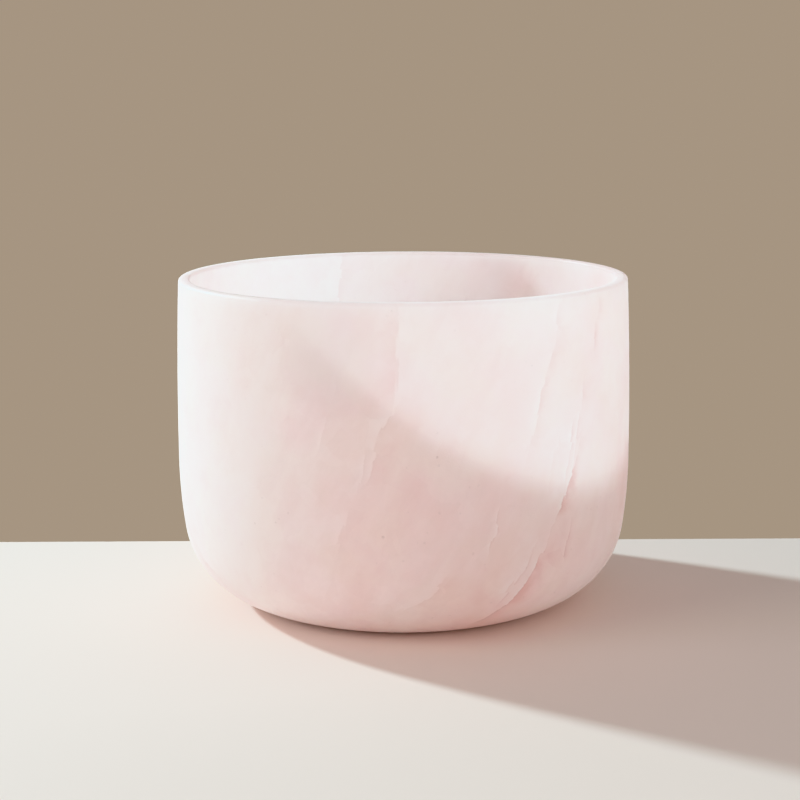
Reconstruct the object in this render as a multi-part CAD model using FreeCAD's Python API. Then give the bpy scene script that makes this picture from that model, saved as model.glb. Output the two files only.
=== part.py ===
import FreeCAD, Part
import math
import os

# Crystal singing bowl: one closed shell of quartz, round about the Z axis, standing on a small
# flat at the middle of its base.  Millimetres, +Z up, origin at the centre of that flat.

# Driving dimensions
HEIGHT = 145.5            # base flat to the top of the rim
RIM_RADIUS = 100.0        # outside, where the side wall meets the rim's rounded edge
GIRTH_RADIUS = 101.8      # outside, at the widest level
GIRTH_LEVEL = 64.5        # height of the widest level
LOWER_SIDE_ARC = 217.0    # radius of the side wall's bulge below the widest level
CORNER_ARC = 38.5         # radius of the turn from the side wall into the base
BASE_ARC = 179.0          # radius of the base's slight crown outside the flat
FLAT_RADIUS = 51.5        # radius of the flat that the bowl stands on

WALL = 5.0                # thickness of the side wall
FLOOR = 6.0               # thickness of the base
OUTER_EDGE = 1.5          # rounding of the rim's outside edge
INNER_EDGE = 1.0          # rounding of the rim's inside edge


def at(radius, level):
    """A point of the section, which lies in the XZ plane."""
    return FreeCAD.Vector(radius, 0.0, level)


def polar(centre, radius, angle):
    """The point at an angle above the horizontal on an arc of the section."""
    return centre + at(radius * math.cos(angle), radius * math.sin(angle))


def arc(centre, radius, start, end):
    """An arc of the section between two angles above the horizontal."""
    middle = (start + end) / 2
    points = [polar(centre, radius, angle) for angle in (start, middle, end)]
    return Part.Arc(*points).toShape()


def elevation(centre, other):
    """Angle above the horizontal of the line from one centre to another."""
    return math.atan2(other.z - centre.z, other.x - centre.x)


def blend_centre(centre_a, reach_a, centre_b, reach_b):
    """Centre of the arc that blends two arcs: the outer crossing of two circles about theirs."""
    span = centre_b - centre_a
    along = (span.Length ** 2 + reach_a ** 2 - reach_b ** 2) / (2 * span.Length)
    across = math.sqrt(reach_a ** 2 - along ** 2)
    direction = at(span.x / span.Length, span.z / span.Length)
    sideways = at(direction.z, -direction.x)
    crossings = [centre_a + direction * along + sideways * side for side in (across, -across)]
    return max(crossings, key=lambda point: point.x)


def skin(inset, level):
    """One surface of the bowl, inset from its outside, with its flat at the given level.

    Every edge is finished except the upper side's arc, which is given as its centre and
    radius, because the rim's rounded edge decides where that arc stops.
    """
    girth = GIRTH_RADIUS - inset
    upper_radius = upper_side_arc() - inset
    lower_radius = LOWER_SIDE_ARC - inset
    corner_radius = CORNER_ARC - inset
    base_radius = BASE_ARC - inset
    upper_centre = at(girth - upper_radius, GIRTH_LEVEL)
    lower_centre = at(girth - lower_radius, GIRTH_LEVEL)
    base_centre = at(FLAT_RADIUS, level + base_radius)
    corner_centre = blend_centre(
        lower_centre, lower_radius - corner_radius, base_centre, base_radius - corner_radius
    )
    side_end = elevation(lower_centre, corner_centre)
    base_start = elevation(base_centre, corner_centre)
    return {
        "upper": (upper_centre, upper_radius),
        "lower": arc(lower_centre, lower_radius, 0.0, side_end),
        "corner": arc(corner_centre, corner_radius, side_end, base_start),
        "base": arc(base_centre, base_radius, base_start, -math.pi / 2),
        "flat": Part.LineSegment(at(FLAT_RADIUS, level), at(0.0, level)).toShape(),
    }


def upper_side_arc():
    """Radius of the side wall's very slight bulge between the widest level and the rim."""
    rise = HEIGHT - OUTER_EDGE - GIRTH_LEVEL
    draw_in = GIRTH_RADIUS - RIM_RADIUS
    return (rise ** 2 + draw_in ** 2) / (2 * draw_in)


def rim_edge(surface, edge, inside):
    """The rounded edge that joins a side surface to the flat top of the rim."""
    centre, radius = surface["upper"]
    level = HEIGHT - edge
    reach = radius + edge if inside else radius - edge
    angle = math.asin((level - centre.z) / reach)
    edge_centre = polar(centre, reach, angle)
    side = arc(centre, radius, angle, 0.0)
    turn = arc(edge_centre, edge, math.pi / 2, math.pi + angle if inside else angle)
    return side, turn, edge_centre + at(0.0, edge)


def section():
    """Half of the bowl's section, as a face in the XZ plane."""
    outside = skin(0.0, 0.0)
    inside = skin(WALL, FLOOR)
    outer_side, outer_turn, outer_top = rim_edge(outside, OUTER_EDGE, inside=False)
    inner_side, inner_turn, inner_top = rim_edge(inside, INNER_EDGE, inside=True)
    edges = [
        outer_side, outer_turn, Part.LineSegment(outer_top, inner_top).toShape(),
        inner_turn, inner_side,
        inside["lower"], inside["corner"], inside["base"], inside["flat"],
        Part.LineSegment(at(0.0, FLOOR), at(0.0, 0.0)).toShape(),
        outside["flat"], outside["base"], outside["corner"], outside["lower"],
    ]
    return Part.Face(Part.Wire(Part.__sortEdges__(edges)))


def bowl():
    """The whole shell: its section turned once about the Z axis."""
    return section().revolve(FreeCAD.Vector(0, 0, 0), FreeCAD.Vector(0, 0, 1), 360.0)


os.makedirs("parts", exist_ok=True)
bowl().exportStep("parts/bowl.step")
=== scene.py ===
import math
from typing import NamedTuple

import bpy
from mathutils import Matrix, Vector


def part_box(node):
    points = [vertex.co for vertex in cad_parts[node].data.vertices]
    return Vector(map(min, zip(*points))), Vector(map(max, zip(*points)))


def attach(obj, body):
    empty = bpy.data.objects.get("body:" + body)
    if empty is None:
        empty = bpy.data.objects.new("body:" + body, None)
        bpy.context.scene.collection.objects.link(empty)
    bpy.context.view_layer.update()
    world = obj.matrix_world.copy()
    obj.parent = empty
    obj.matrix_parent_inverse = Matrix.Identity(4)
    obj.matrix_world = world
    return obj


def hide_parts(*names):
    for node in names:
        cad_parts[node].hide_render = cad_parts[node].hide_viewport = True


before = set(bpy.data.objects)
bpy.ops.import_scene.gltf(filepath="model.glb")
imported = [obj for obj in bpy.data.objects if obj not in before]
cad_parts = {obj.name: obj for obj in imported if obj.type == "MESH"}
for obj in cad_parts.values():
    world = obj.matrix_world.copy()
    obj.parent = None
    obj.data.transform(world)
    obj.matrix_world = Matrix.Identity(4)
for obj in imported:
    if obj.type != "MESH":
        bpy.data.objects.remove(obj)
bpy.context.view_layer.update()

# Frosted rose-crystal singing bowl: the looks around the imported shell.  Metres, +Z up, the
# same frame as the CAD, whose origin is the centre of the flat that the bowl stands on.

BOWL_LOW, BOWL_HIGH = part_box("bowl")
MM = 0.001

# Section of the shell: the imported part's own driving dimensions
HEIGHT = BOWL_HIGH.z
GIRTH_RADIUS = (BOWL_HIGH.x - BOWL_LOW.x) / 2
DRAW_IN = 1.8 * MM        # how much narrower the rim is than the widest level, on each side
RIM_RADIUS = GIRTH_RADIUS - DRAW_IN
GIRTH_LEVEL = 64.5 * MM
LOWER_SIDE_ARC = 217 * MM
CORNER_ARC = 38.5 * MM
BASE_ARC = 179 * MM
FLAT_RADIUS = 51.5 * MM
WALL = 5 * MM
FLOOR = 6 * MM
OUTER_EDGE = 1.5 * MM
INNER_EDGE = 1.0 * MM

# Mesh density: faces around the bowl, and steps along each stretch of its section
AROUND = 480
EDGE_STEPS = 7
UPPER_STEPS = 34
LOWER_STEPS = 12
CORNER_STEPS = 26
BASE_STEPS = 5
FLAT_STEPS = 8


# ------------------------------------------------------------------ section of the shell

def on_arc(centre, radius, start, end, steps):
    """Points (radius, level) along an arc between two angles above the horizontal, end included."""
    angles = [start + (end - start) * i / steps for i in range(steps + 1)]
    return [(centre[0] + radius * math.cos(a), centre[1] + radius * math.sin(a)) for a in angles]


def blend_centre(a, reach_a, b, reach_b):
    """Centre of the arc that blends two arcs: the outer crossing of two circles about theirs."""
    dx, dz = b[0] - a[0], b[1] - a[1]
    span = math.hypot(dx, dz)
    along = (span ** 2 + reach_a ** 2 - reach_b ** 2) / (2 * span)
    across = math.sqrt(reach_a ** 2 - along ** 2)
    base = (a[0] + dx / span * along, a[1] + dz / span * along)
    sides = [(base[0] + dz / span * s, base[1] - dx / span * s) for s in (across, -across)]
    return max(sides)


def elevation(centre, other):
    """Angle above the horizontal of the line from one centre to another."""
    return math.atan2(other[1] - centre[1], other[0] - centre[0])


def skin(inset, level, edge, inside):
    """One surface of the shell as points (radius, level), from the rim's flat top to the axis."""
    rise = HEIGHT - OUTER_EDGE - GIRTH_LEVEL
    upper_radius = (rise ** 2 + DRAW_IN ** 2) / (2 * DRAW_IN) - inset
    girth = GIRTH_RADIUS - inset
    lower_radius = LOWER_SIDE_ARC - inset
    corner_radius = CORNER_ARC - inset
    base_radius = BASE_ARC - inset
    upper = (girth - upper_radius, GIRTH_LEVEL)
    lower = (girth - lower_radius, GIRTH_LEVEL)
    base = (FLAT_RADIUS, level + base_radius)
    corner = blend_centre(lower, lower_radius - corner_radius, base, base_radius - corner_radius)
    side_end = elevation(lower, corner)
    base_start = elevation(base, corner)

    reach = upper_radius + edge if inside else upper_radius - edge
    top_angle = math.asin((HEIGHT - edge - GIRTH_LEVEL) / reach)
    edge_centre = on_arc(upper, reach, top_angle, top_angle, 1)[0]
    turn_end = math.pi + top_angle if inside else top_angle

    points = on_arc(edge_centre, edge, math.pi / 2, turn_end, EDGE_STEPS)
    points += on_arc(upper, upper_radius, top_angle, 0, UPPER_STEPS)[1:]
    points += on_arc(lower, lower_radius, 0, side_end, LOWER_STEPS)[1:]
    points += on_arc(corner, corner_radius, side_end, base_start, CORNER_STEPS)[1:]
    points += on_arc(base, base_radius, base_start, -math.pi / 2, BASE_STEPS)[1:]
    points += [(FLAT_RADIUS * (1 - i / FLAT_STEPS), level) for i in range(1, FLAT_STEPS)]
    return points


# ------------------------------------------------------------------ the bowl's mesh

def bowl_mesh():
    """The closed shell: rings from the middle of the base, up the outside, over the rim and in."""
    outside = skin(0.0, 0.0, OUTER_EDGE, inside=False)
    inside = skin(WALL, FLOOR, INNER_EDGE, inside=True)
    rings = outside[::-1] + inside
    verts = []
    for radius, level in rings:
        for k in range(AROUND):
            turn = 2 * math.pi * k / AROUND
            verts.append((radius * math.cos(turn), radius * math.sin(turn), level))
    faces = []
    for ring in range(len(rings) - 1):
        for k in range(AROUND):
            beside = (k + 1) % AROUND
            low, high = ring * AROUND, (ring + 1) * AROUND
            faces.append((low + k, low + beside, high + beside, high + k))
    under, over = len(verts), len(verts) + 1
    verts += [(0.0, 0.0, 0.0), (0.0, 0.0, FLOOR)]
    last = (len(rings) - 1) * AROUND
    for k in range(AROUND):
        beside = (k + 1) % AROUND
        faces.append((under, beside, k))
        faces.append((over, last + k, last + beside))
    mesh = bpy.data.meshes.new("bowl_crystal")
    mesh.from_pydata(verts, [], faces)
    mesh.shade_smooth()
    mesh.validate()
    return mesh


# ------------------------------------------------------------------ node helpers

class Nodes:
    """Short spellings for building one material's node tree."""

    def __init__(self, material):
        material.use_nodes = True
        self.tree = material.node_tree
        self.tree.nodes.clear()

    def add(self, kind, **inputs):
        node = self.tree.nodes.new(kind)
        for name, value in inputs.items():
            self.put(node.inputs[name.replace("_", " ")], value)
        return node

    def put(self, socket, value):
        if isinstance(value, bpy.types.NodeSocket):
            self.tree.links.new(value, socket)
        else:
            socket.default_value = value

    def math(self, operation, a, b=0.0, c=0.0):
        node = self.tree.nodes.new("ShaderNodeMath")
        node.operation = operation
        for socket, value in zip(node.inputs, (a, b, c)):
            self.put(socket, value)
        return node.outputs[0]

    def vector(self, operation, a, b=(0, 0, 0), scale=1.0):
        node = self.tree.nodes.new("ShaderNodeVectorMath")
        node.operation = operation
        self.put(node.inputs[0], a)
        if operation == "SCALE":
            self.put(node.inputs["Scale"], scale)
        else:
            self.put(node.inputs[1], b)
        return node.outputs["Value" if operation in ("DOT_PRODUCT", "LENGTH") else "Vector"]

    def mix(self, factor, a, b, blend="MIX"):
        """Two colours mixed: a Mix node takes colours at its inputs 6 and 7, and gives output 2."""
        node = self.tree.nodes.new("ShaderNodeMix")
        node.data_type = "RGBA"
        node.blend_type = blend
        self.put(node.inputs["Factor"], factor)
        self.put(node.inputs[6], a)
        self.put(node.inputs[7], b)
        return node.outputs[2]

    def remap(self, value, low, high, to_low=0.0, to_high=1.0, smooth=True):
        node = self.tree.nodes.new("ShaderNodeMapRange")
        node.interpolation_type = "SMOOTHSTEP" if smooth else "LINEAR"
        for socket, number in zip(node.inputs, (value, low, high, to_low, to_high)):
            self.put(socket, number)
        return node.outputs[0]

    def noise(self, place, scale, detail=4.0, roughness=0.5, distortion=0.0, output=0):
        node = self.add("ShaderNodeTexNoise", Vector=place, Scale=scale, Detail=detail,
                        Roughness=roughness, Distortion=distortion)
        return node.outputs[output]


# ------------------------------------------------------------------ what is inside the crystal

class Veil(NamedTuple):
    """A healed fracture: a warped disc in the crystal, bright on one side and dark on the other."""
    centre: tuple         # millimetres
    normal: tuple         # points to the dark side
    radius: float         # millimetres
    bright: float
    dark: float
    line: float = 0.0     # strength of the thin bright and dark pair of lines right at it
    bright_reach: float = 7.0
    dark_reach: float = 9.0


class Zone(NamedTuple):
    """A soft region made milkier (positive) or rosier (negative); some are crystal, and some are
    painted light and painted shade, as noted in the list.
    """
    centre: tuple         # millimetres
    radius: float         # millimetres
    tone: float
    light: float = 0.0    # how much lighter (positive) or darker (negative) it is


LEANING = (0.50, 0.78, -0.38)      # one family of fractures leans across the wall
STEEP = (0.92, 0.35, -0.18)        # another stands almost upright
BETWEEN = (0.71, 0.565, -0.28)     # one lies between the two
CROSSING = (-0.60, 0.62, -0.50)    # and one crosses them all

VEILS = [
    # front right: the main fracture, its step near the base and its two upright ends
    Veil((59, -82, 44), LEANING, 54, 0.85, 0.8, 0.45, 17, 14),
    Veil((46, -86, 32), LEANING, 20, 0.7, 0.4, 0.3, 8, 5),
    Veil((68, -76, 82), STEEP, 20, 0.4, 0.6, 0.3, 5, 4),
    Veil((71, -72, 88), STEEP, 26, 0.5, 0.5, 0.4, 4, 8),
    Veil((60, -80, 76), STEEP, 16, 0.2, 0.3, 0.0, 5, 5),
    # front right, above and beside it
    Veil((56, -84, 108), BETWEEN, 44, 0.55, 0.5, 0.0, 12, 8),
    Veil((37, -94, 54), STEEP, 16, 0.8, 0.1, 0.3, 4, 8),
    Veil((67, -73, 42), STEEP, 14, 0.1, 0.4, 0.2, 4, 4),
    Veil((80, -60, 132), STEEP, 16, 0.1, 0.6, 0.0, 3, 4),
    # front, left of the middle
    Veil((-9, -101, 90), BETWEEN, 24, 0.17, 0.2, 0.08, 7, 12),
    Veil((-17, -100, 78), STEEP, 13, 0.2, 0.12, 0.1, 5, 4),
    Veil((-3, -100, 128), (-0.98, -0.2, 0.05), 34, 0.1, 0.25, 0.0, 12, 8),
    Veil((-30, -97, 100), STEEP, 24, 0.12, 0.12),
    Veil((-27, -98, 44), STEEP, 30, 0.12, 0.12),
    Veil((8, -97, 24), LEANING, 20, 0.25, 0.2),
    # the milky back left, which ends sharply at the back: milky crystal, whitened further by a
    # painted glow of the key light coming through the wall
    Veil((-34, 93, 115), (0.98, 0.15, -0.1), 80, 0.5, 0.2, 0.0, 60, 10),
    # right side, back and left side
    Veil((100, 12, 62), LEANING, 48, 0.5, 0.7, 0.3, 10, 14),
    Veil((94, 34, 100), CROSSING, 34, 0.3, 0.4, 0.2, 8, 10),
    Veil((64, 78, 66), CROSSING, 44, 0.4, 0.6, 0.3, 10, 16),
    Veil((14, 100, 56), STEEP, 46, 0.5, 0.6, 0.3, 10, 16),
    Veil((26, 97, 104), STEEP, 28, 0.3, 0.3, 0.2, 8, 10),
    Veil((-58, 82, 44), LEANING, 44, 0.5, 0.6, 0.3, 10, 16),
    Veil((-78, 64, 96), BETWEEN, 30, 0.3, 0.4, 0.2, 8, 12),
    Veil((-98, 22, 70), CROSSING, 40, 0.4, 0.5, 0.3, 9, 14),
    Veil((-92, -40, 30), LEANING, 24, 0.3, 0.3, 0.1),
    # base
    Veil((20, -20, 3), LEANING, 60, 0.5, 0.7, 0.3, 10, 14),
    Veil((-30, 24, 3), STEEP, 50, 0.4, 0.6, 0.3, 10, 14),
]

ZONES = [
    # the milky left side: milky crystal, whitened further by painted light where that side faces
    # the key
    Zone((-108, -26, 80), 105, 0.65),
    # rosier and darker at the front below the glow, low at the front right and at the right side:
    # rosy crystal, deepened by painted shade where the wall lies in shade
    Zone((6, -106, 52), 84, -0.85, -0.2),
    Zone((40, -84, 16), 42, -0.6, -0.3),
    Zone((74, -68, 42), 34, -0.45, -0.2),
    Zone((98, -26, 50), 38, -0.9, -0.45),
    # darker low at the front left, near the floor: painted shade
    Zone((-46, -80, 16), 46, 0.0, -0.4),
    # below the rim: a greyer, darker band at the front left, which is painted shade where the
    # shaded front begins, a milky patch at the right, and a lighter, milkier patch in the glow at
    # the front right, which is painted light
    Zone((-30, -94, 124), 44, 1.3, -1.7),
    Zone((52, -82, 142), 34, 0.5, 0.3),
    Zone((58, -82, 88), 30, 0.4, 0.3),
    # inside, at the back: milkier and lighter at the left, which is milky crystal with a painted
    # glow of the key light coming through the wall, and rosier, darker spots at the right, which
    # are painted shade
    Zone((-40, 90, 130), 75, 0.4),
    Zone((-74, 60, 135), 70, 0.6, 0.1),
    Zone((57, 77, 131), 18, -0.5, -0.1),
    Zone((93, 25, 136), 32, -0.3, -0.3),
]


# ------------------------------------------------------------------ material

# Noise and cell patterns: how many cells lie side by side in a metre
BEND_SCALE = 40
CLOUD_SCALE = 24
STREAK_SCALE = 80
FACET_SCALE = 110
PATCH_SCALE = 60
TONE_SCALE = 18
TINT_SCALE = 40
SPECK_REGION_SCALE = 22
PIT_SCALE = 150
DUST_SCALE = 420
POLISH_SCALE = 180
GRAIN_SCALE = 1500

BEND_REACH = 7 * MM       # the bending moves a place by up to about half of this
FACET_STEP = 2.0 * MM     # how far a veil steps from one facet to the next
VEIL_TURN = 0.3 * MM      # half the width in which a veil turns from its bright to its dark side
FULL_SHARE = 0.4          # a veil or a speck is at full strength within this share of its radius
LINE_REACH = 1.4          # millimetres: width of each of the thin lines at a veil
STREAK_LEAN = 0.4         # how far the streaks lean for each unit of height
STREAK_SQUEEZE = 0.45     # height is squeezed to this share, which stretches the streaks

# How much each thing adds to the light, which runs from dark at -1.7 to bright at 1
CLOUD_LIGHT = 0.9
STREAK_LIGHT = 0.95
FACET_LIGHT = 0.12
# painted shade: how much darker the rim's top and the rounded edge inside the rim are made
RIM_PAINTED_SHADE = -0.4
INNER_EDGE_PAINTED_SHADE = -0.7
PIT_LIGHT = -0.9
DUST_LIGHT = -0.4

# How much each thing adds to the tone, which runs from rosy at -1 to milky at 1.6
CLOUD_TONE = 1.0
TONE_OF_LIGHT = 0.3
RIM_TONE = -0.3
BASE_TONE = -0.45
BASE_LEVEL = 16 * MM      # the base is rosier below this height

BODY_COLOURS = [
    (-1.0, (0.985, 0.66, 0.625)),
    (0.0, (1.0, 0.775, 0.75)),
    (1.0, (1.0, 0.89, 0.87)),
    (1.6, (0.985, 0.90, 0.882)),
]
SHADES = [
    (-1.7, (0.73, 0.70, 0.70)),
    (-1.0, (0.79, 0.755, 0.755)),
    (0.0, (0.955, 0.955, 0.955)),
    (1.0, (1.0, 1.0, 1.0)),
]
ROSY_TINT = (1.0, 0.98, 0.995, 1)
CREAM_TINT = (0.99, 1.0, 0.985, 1)


def fade(n, distance, reach):
    """One at no distance, falling off steeply and then gently to nothing at the reach."""
    left = n.remap(distance, 0, reach * MM, 1, 0, smooth=False)
    return n.math("MULTIPLY", left, left)


def veil_light(n, place, step, patchy, veil):
    """How much lighter or darker one veil makes the crystal at a place."""
    centre = tuple(value * MM for value in veil.centre)
    away = n.vector("SUBTRACT", place, centre)
    flat = n.vector("DOT_PRODUCT", away, Vector(veil.normal).normalized())
    across = n.math("ADD", flat, step)
    back = n.math("MULTIPLY", across, -1)
    bright = n.math("MULTIPLY", fade(n, back, veil.bright_reach), veil.bright)
    dark = n.math("MULTIPLY", fade(n, across, veil.dark_reach), -veil.dark)
    if veil.line:
        bright = n.math("MULTIPLY_ADD", fade(n, back, LINE_REACH), veil.line, bright)
        dark = n.math("MULTIPLY_ADD", fade(n, across, LINE_REACH), -veil.line, dark)
    side = n.remap(across, -VEIL_TURN, VEIL_TURN, bright, dark)
    reach = n.vector("LENGTH", away)
    radius = veil.radius * MM
    shown = n.math("MULTIPLY", n.remap(reach, radius, radius * FULL_SHARE), patchy)
    return n.math("MULTIPLY", side, shown)


def zone_share(n, place, zone):
    """One in the middle of a zone, falling softly to nothing at its radius."""
    centre = tuple(value * MM for value in zone.centre)
    reach = n.vector("LENGTH", n.vector("SUBTRACT", place, centre))
    return n.remap(reach, zone.radius * MM, 0)


def centred(n, value, strength):
    """A noise value, which lies about 0.5, turned into one about zero."""
    return n.math("MULTIPLY", n.math("SUBTRACT", value, 0.5), strength)


def bent_place(n, place):
    """The place moved about by noise, so that nothing drawn there is straight."""
    stray = n.noise(place, BEND_SCALE, detail=6, roughness=0.66, output=1)
    swing = n.vector("SUBTRACT", stray, (0.5, 0.5, 0.5))
    return n.vector("ADD", place, n.vector("SCALE", swing, scale=BEND_REACH))


def drawn_out(n, place):
    """The place leant and squeezed, so that clouds drawn there are streaks along the veils."""
    parts = n.add("ShaderNodeSeparateXYZ", Vector=place).outputs
    across = n.math("SUBTRACT", parts[0], n.math("MULTIPLY", parts[2], STREAK_LEAN))
    along = n.math("MULTIPLY", parts[2], STREAK_SQUEEZE)
    return n.add("ShaderNodeCombineXYZ", X=across, Y=parts[1], Z=along).outputs[0]


def ramp_colour(n, tone, stops):
    """A colour for a tone, from pairs of a tone and its colour with the lowest tone first."""
    low, high = stops[0][0], stops[-1][0]
    ramp = n.add("ShaderNodeValToRGB", Fac=n.remap(tone, low, high, smooth=False))
    marks = ramp.color_ramp.elements
    marks[0].color = (*stops[0][1], 1)
    marks[1].color = (*stops[-1][1], 1)
    for level, colour in stops[1:-1]:
        marks.new((level - low) / (high - low)).color = (*colour, 1)
    return ramp.outputs[0]


def specks(n, place, scale, share, size):
    """One inside small round specks, nothing elsewhere.

    A share of the cells of a Voronoi pattern holds a speck, of a size given in cells, and
    the specks keep to some regions of the crystal.
    """
    cells = n.add("ShaderNodeTexVoronoi", Vector=place, Scale=scale)
    chosen = n.add("ShaderNodeSeparateColor", Color=cells.outputs["Color"]).outputs[1]
    few = n.math("GREATER_THAN", chosen, 1 - share)
    region = n.remap(n.noise(place, SPECK_REGION_SCALE, detail=2), 0.46, 0.54)
    inside = n.remap(cells.outputs["Distance"], size, size * FULL_SHARE)
    return n.math("MULTIPLY", n.math("MULTIPLY", few, region), inside)


def inner_edge_shade_mask(n, place):
    """One on the rounded edge inside the rim, nothing elsewhere: where a line of painted shade is
    laid.
    """
    parts = n.add("ShaderNodeSeparateXYZ", Vector=place).outputs
    out = n.vector("LENGTH", n.add("ShaderNodeCombineXYZ", X=parts[0], Y=parts[1]).outputs[0])
    start = RIM_RADIUS - WALL + INNER_EDGE
    inward = n.remap(out, start + 0.2 * MM, start - 0.4 * MM)
    raised = n.remap(parts[2], HEIGHT - 2.0 * MM, HEIGHT - 1.0 * MM)
    return n.math("MULTIPLY", inward, raised)


def marbling(n, place, bent):
    """How light (positive) or dark (negative) the clouds, streaks, facets and veils make it."""
    # the crystal breaks in small facets, so each veil steps from one to the next, and it
    # comes and goes in patches
    cells = n.add("ShaderNodeTexVoronoi", Vector=bent, Scale=FACET_SCALE)
    facet = n.add("ShaderNodeSeparateColor", Color=cells.outputs["Color"]).outputs[0]
    step = centred(n, facet, FACET_STEP)
    patchy = n.remap(n.noise(place, PATCH_SCALE, detail=3), 0.36, 0.62, 0.3, 1.9)

    clouds = n.noise(bent, CLOUD_SCALE, detail=3, distortion=0.6)
    streaks = n.noise(drawn_out(n, bent), STREAK_SCALE, detail=6, roughness=0.62)
    light = centred(n, clouds, CLOUD_LIGHT)
    light = n.math("ADD", light, centred(n, streaks, STREAK_LIGHT))
    light = n.math("ADD", light, centred(n, facet, FACET_LIGHT))
    for veil in VEILS:
        light = n.math("ADD", light, veil_light(n, bent, step, patchy, veil))
    return light


def light_and_tone(n, place, bent, pits):
    """How light or dark the crystal is, and how milky or rosy, with painted light and painted shade
    from some zones, the rim's top and the inner edge.
    """
    height = n.add("ShaderNodeSeparateXYZ", Vector=place).outputs[2]
    # the rim's top: rosier, and darker by painted shade on its grazing top
    rim = n.remap(height, HEIGHT - 1.6 * MM, HEIGHT - 0.4 * MM)
    light = marbling(n, place, bent)
    tone = centred(n, n.noise(bent, TONE_SCALE, detail=4, distortion=0.6), CLOUD_TONE)
    tone = n.math("MULTIPLY_ADD", light, TONE_OF_LIGHT, tone)
    tone = n.math("MULTIPLY_ADD", rim, RIM_TONE, tone)
    tone = n.math("ADD", tone, n.remap(height, BASE_LEVEL, 0, 0, BASE_TONE))
    for zone in ZONES:
        share = zone_share(n, bent, zone)
        tone = n.math("MULTIPLY_ADD", share, zone.tone, tone)
        light = n.math("MULTIPLY_ADD", share, zone.light, light)
    # painted shade on the rim's top and on the rounded edge inside the rim
    light = n.math("MULTIPLY_ADD", rim, RIM_PAINTED_SHADE, light)
    light = n.math("MULTIPLY_ADD", inner_edge_shade_mask(n, place), INNER_EDGE_PAINTED_SHADE, light)
    light = n.math("MULTIPLY_ADD", pits, PIT_LIGHT, light)
    dust = specks(n, bent, DUST_SCALE, share=0.09, size=0.3)
    return n.math("MULTIPLY_ADD", dust, DUST_LIGHT, light), tone


def crystal_colour(n, bent, light, tone):
    """The body's colour for its tone, shaded by its light, with a rosy or a creamy tint."""
    body = ramp_colour(n, tone, BODY_COLOURS)
    colour = n.mix(1.0, body, ramp_colour(n, light, SHADES), blend="MULTIPLY")
    creamy = n.remap(n.noise(bent, TINT_SCALE, detail=5), 0.35, 0.65)
    return n.mix(1.0, colour, n.mix(creamy, ROSY_TINT, CREAM_TINT), blend="MULTIPLY")


def frosted_relief(n, place, pits):
    """The fine grain of the frosting, with the pits sunk into it."""
    grain = n.noise(place, GRAIN_SCALE, detail=2, roughness=0.5)
    relief = n.math("MULTIPLY_ADD", pits, -1.5, grain)
    return n.add("ShaderNodeBump", Strength=0.12, Distance=0.3 * MM, Height=relief).outputs[0]


def rose_crystal():
    """Frosted rose crystal: cloudy pink body, steep healed fractures, fine grain and pits."""
    material = bpy.data.materials.new("rose_crystal")
    n = Nodes(material)
    place = n.add("ShaderNodeTexCoord").outputs["Object"]
    bent = bent_place(n, place)
    pits = specks(n, bent, PIT_SCALE, share=0.10, size=0.12)
    light, tone = light_and_tone(n, place, bent, pits)
    roughness = n.remap(n.noise(place, POLISH_SCALE, detail=4), 0.3, 0.7, 0.42, 0.54)

    shader = n.add("ShaderNodeBsdfPrincipled")
    n.put(shader.inputs["Base Color"], crystal_colour(n, bent, light, tone))
    n.put(shader.inputs["Roughness"], roughness)
    n.put(shader.inputs["Normal"], frosted_relief(n, place, pits))
    shader.inputs["IOR"].default_value = 1.46
    shader.inputs["Subsurface Weight"].default_value = 1.0
    shader.inputs["Subsurface Radius"].default_value = (1.0, 1.0, 1.0)
    shader.inputs["Subsurface Scale"].default_value = 25 * MM
    out = n.add("ShaderNodeOutputMaterial")
    n.put(out.inputs["Surface"], shader.outputs[0])
    return material


def pale_floor():
    """The matte surface of the stage."""
    material = bpy.data.materials.new("floor_pale")
    n = Nodes(material)
    shader = n.add("ShaderNodeBsdfPrincipled")
    shader.inputs["Base Color"].default_value = FLOOR_COLOUR
    shader.inputs["Roughness"].default_value = 0.9
    out = n.add("ShaderNodeOutputMaterial")
    n.put(out.inputs["Surface"], shader.outputs[0])
    return material


# ------------------------------------------------------------------ the bowl

def make_bowl():
    """The shell as a finished piece, in place of the plain packed one."""
    bowl = bpy.data.objects.new("bowl_crystal", bowl_mesh())
    bpy.context.scene.collection.objects.link(bowl)
    bowl.data.materials.append(rose_crystal())
    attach(bowl, "root")
    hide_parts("bowl")


# ------------------------------------------------------------------ stage

FLOOR_BACK = 0.08         # the floor ends this far behind the bowl's axis
FLOOR_FRONT = -1.5
FLOOR_HALF = 1.6
FLOOR_THICK = 0.03
FLOOR_COLOUR = (0.81, 0.73, 0.67, 1)
BACKDROP_COLOUR = (0.42, 0.34, 0.26, 1)
SOFT_COLOUR = (1.0, 0.95, 0.93, 1)
SIDE_LIGHT = 0.76         # strength of the soft light from the sides
TOP_LIGHT = 0.27          # and from straight above


def make_floor():
    """A plain pale slab, which ends a little behind the bowl."""
    low = Vector((-FLOOR_HALF, FLOOR_FRONT, -FLOOR_THICK))
    high = Vector((FLOOR_HALF, FLOOR_BACK, 0.0))
    corners = [(x, y, z) for x in (low.x, high.x) for y in (low.y, high.y) for z in (low.z, high.z)]
    faces = [(0, 1, 3, 2), (4, 6, 7, 5), (0, 4, 5, 1), (2, 3, 7, 6), (1, 5, 7, 3), (0, 2, 6, 4)]
    mesh = bpy.data.meshes.new("stage_floor")
    mesh.from_pydata(corners, [], faces)
    mesh.materials.append(pale_floor())
    floor = bpy.data.objects.new("stage_floor", mesh)
    bpy.context.scene.collection.objects.link(floor)


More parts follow.
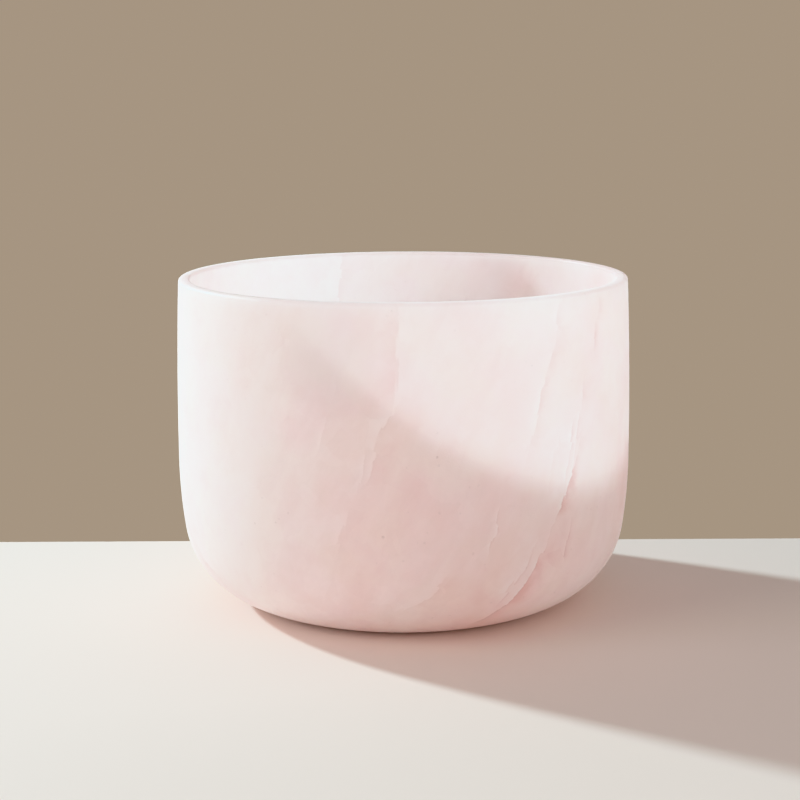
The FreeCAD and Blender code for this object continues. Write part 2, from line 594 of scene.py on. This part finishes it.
def make_world():
    """A plain warm backdrop for the camera, and soft light that comes mostly from the sides."""
    world = bpy.data.worlds.new("studio")
    bpy.context.scene.world = world
    n = Nodes(world)
    direction = n.add("ShaderNodeTexCoord").outputs["Generated"]
    up = n.add("ShaderNodeSeparateXYZ", Vector=direction).outputs[2]
    strength = n.remap(up, 0.1, 0.9, SIDE_LIGHT, TOP_LIGHT)
    seen = n.add("ShaderNodeBackground", Color=BACKDROP_COLOUR, Strength=1.0)
    light = n.add("ShaderNodeBackground", Color=SOFT_COLOUR, Strength=strength)
    path = n.add("ShaderNodeLightPath")
    mixed = n.add("ShaderNodeMixShader")
    n.put(mixed.inputs[0], path.outputs["Is Camera Ray"])
    n.put(mixed.inputs[1], light.outputs[0])
    n.put(mixed.inputs[2], seen.outputs[0])
    out = n.add("ShaderNodeOutputWorld")
    n.put(out.inputs["Surface"], mixed.outputs[0])


AIM = Vector((0, 0, HEIGHT / 2))
KEY_DIRECTION = Vector((-0.839, 0.545, 0.442)).normalized()
KEY_FAR = 3.0
COOL_WHITE = (0.71, 0.93, 1.0)
WHITE = (1.0, 1.0, 1.0)
WARM_WHITE = (1.0, 0.84, 0.80)


def soft_light(name, place, width, watts, colour):
    """A round lamp of the given width that faces the bowl."""
    light = bpy.data.lights.new(name, "AREA")
    light.shape = "DISK"
    light.size = width
    light.energy = watts
    light.color = colour
    lamp = bpy.data.objects.new(name, light)
    bpy.context.scene.collection.objects.link(lamp)
    lamp.location = place
    lamp.rotation_euler = (Vector(place) - AIM).to_track_quat("Z", "Y").to_euler()


def make_lights():
    """A low sun from behind the left, a window at the left front and a weak fill at the right."""
    soft_light("key", AIM + KEY_DIRECTION * KEY_FAR, width=0.22, watts=113, colour=COOL_WHITE)
    soft_light("window", (-1.3, -0.6, 0.5), width=1.0, watts=9.0, colour=WHITE)
    soft_light("fill", (1.0, -1.0, 0.4), width=0.8, watts=5.2, colour=WARM_WHITE)


# ------------------------------------------------------------------ camera

LENS_MM = 77.2
SENSOR_MM = 36
CAMERA_BACK = 0.7656
CAMERA_UP = 0.2344
CAMERA_PITCH = math.radians(10.82)
CAMERA_YAW = math.radians(-0.12)
CAMERA_ROLL = math.radians(-0.30)


def make_camera():
    """The camera, a little above the rim in front of the bowl and looking slightly down."""
    data = bpy.data.cameras.new("camera")
    data.lens = LENS_MM
    data.sensor_width = SENSOR_MM
    camera = bpy.data.objects.new("camera", data)
    bpy.context.scene.collection.objects.link(camera)
    ahead = Vector((math.sin(CAMERA_YAW) * math.cos(CAMERA_PITCH),
                    math.cos(CAMERA_YAW) * math.cos(CAMERA_PITCH),
                    -math.sin(CAMERA_PITCH)))
    level = ahead.cross(Vector((0, 0, 1))).normalized()
    upright = level.cross(ahead)
    right = math.cos(CAMERA_ROLL) * level + math.sin(CAMERA_ROLL) * upright
    up = -math.sin(CAMERA_ROLL) * level + math.cos(CAMERA_ROLL) * upright
    turn = Matrix((right, up, -ahead)).transposed()
    camera.matrix_world = Matrix.Translation((0, -CAMERA_BACK, CAMERA_UP)) @ turn.to_4x4()
    bpy.context.scene.camera = camera


make_camera()
make_bowl()
make_floor()
make_world()
make_lights()
bpy.context.scene.view_settings.view_transform = "Khronos PBR Neutral"
